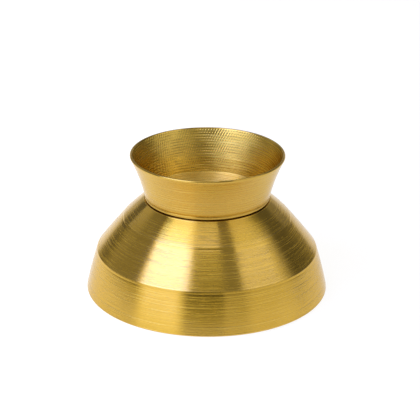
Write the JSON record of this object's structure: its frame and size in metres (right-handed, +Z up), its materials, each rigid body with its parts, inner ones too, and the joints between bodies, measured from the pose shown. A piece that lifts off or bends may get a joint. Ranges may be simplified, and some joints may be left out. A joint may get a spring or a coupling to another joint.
{
  "type": "soldering tip cleaner stand",
  "caption": "Spun brass cup for a coil of brass wool, screwed onto a hollow, weighted cone base with a rubber foot pad, for wiping a soldering iron's tip.",
  "frame": {"origin": "centre of the underside of the foot pad, on the axis of revolution", "axes": "+Z up along the axis of revolution, from the foot to the cup's rim; +X to the right and +Y to the back as the object is usually seen"},
  "size_m": [0.084, 0.084, 0.0493],
  "materials": {
    "spun_brass": "spun brass, brushed round the axis, satin, under clear lacquer",
    "turned_brass": "turned brass, fine tool marks",
    "plated_steel": "zinc-plated steel, satin",
    "pressed_steel": "pressed steel sheet, plated, dull",
    "iron": "sand-cast grey iron, turned top",
    "rubber": "moulded black rubber, matte",
    "fibre": "vulcanised fibre sheet, dull red-brown"
  },
  "bodies": {
    "base": {"base_shell": "spun_brass", "neck_ring": "turned_brass", "spacer_tube": "plated_steel", "ballast": "iron", "bottom_plate": "pressed_steel", "screw_washer": "plated_steel", "centre_screw": "plated_steel", "foot_pad": "rubber"},
    "seat": {"seat_washer": "fibre"},
    "cup": {"cup": "spun_brass", "spigot": "turned_brass", "spigot_screws": "turned_brass"}
  },
  "joints": [
    {"name": "cup_rise", "type": "slide", "parent": "base", "child": "seat", "axis": [0, 0, 1], "range_m": [0, 0.008]},
    {"name": "cup_turn", "type": "hinge", "parent": "seat", "child": "cup", "pos_m": [0, 0, 0.03], "axis": [0, 0, 1], "range_deg": [0, 1440]}
  ],
  "couplings": [
    {"joint": "cup_rise", "follows": "cup_turn", "m_per_rad": 0.00031831}
  ]
}
